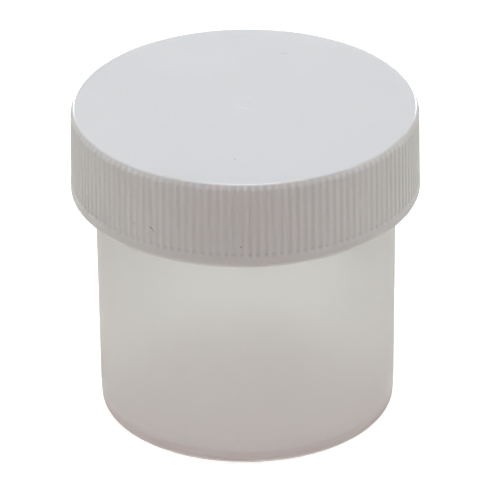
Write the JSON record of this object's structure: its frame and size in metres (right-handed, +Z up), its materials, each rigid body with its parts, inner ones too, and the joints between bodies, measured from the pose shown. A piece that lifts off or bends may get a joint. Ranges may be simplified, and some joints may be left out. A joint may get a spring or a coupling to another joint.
{
  "type": "slide staining jar",
  "caption": "Small round translucent plastic jar with a ribbed white screw cap and a loose sealing disc, for staining or storing small specimens.",
  "frame": {"origin": "centre of the jar's standing ring, on the plane it stands on", "axes": "+Z up along the jar's axis; the jar is round, so +X and -Y are any two square directions across it"},
  "size_m": [0.055, 0.055, 0.0519],
  "materials": {
    "natural_plastic": "natural translucent polypropylene, softly hazy with a satin gloss",
    "white_plastic": "opaque white moulded polypropylene, satin, with a fine moulded texture and faint scuffs",
    "foam": "white closed-cell foam sheet, matt"
  },
  "bodies": {
    "jar": {"jar": "natural_plastic"},
    "liner": {"cap_liner": "foam"},
    "cap": {"screw_cap": "white_plastic"}
  },
  "joints": [
    {"name": "cap_rise", "type": "slide", "parent": "jar", "child": "liner", "axis": [0, 0, 1], "range_m": [0, 0.01693]},
    {"name": "cap_turn", "type": "hinge", "parent": "liner", "child": "cap", "pos_m": [0, 0, 0.0493], "axis": [0, 0, 1], "range_deg": [0, 1440]}
  ],
  "couplings": [
    {"joint": "cap_rise", "follows": "cap_turn", "m_per_rad": 0.0006737}
  ]
}
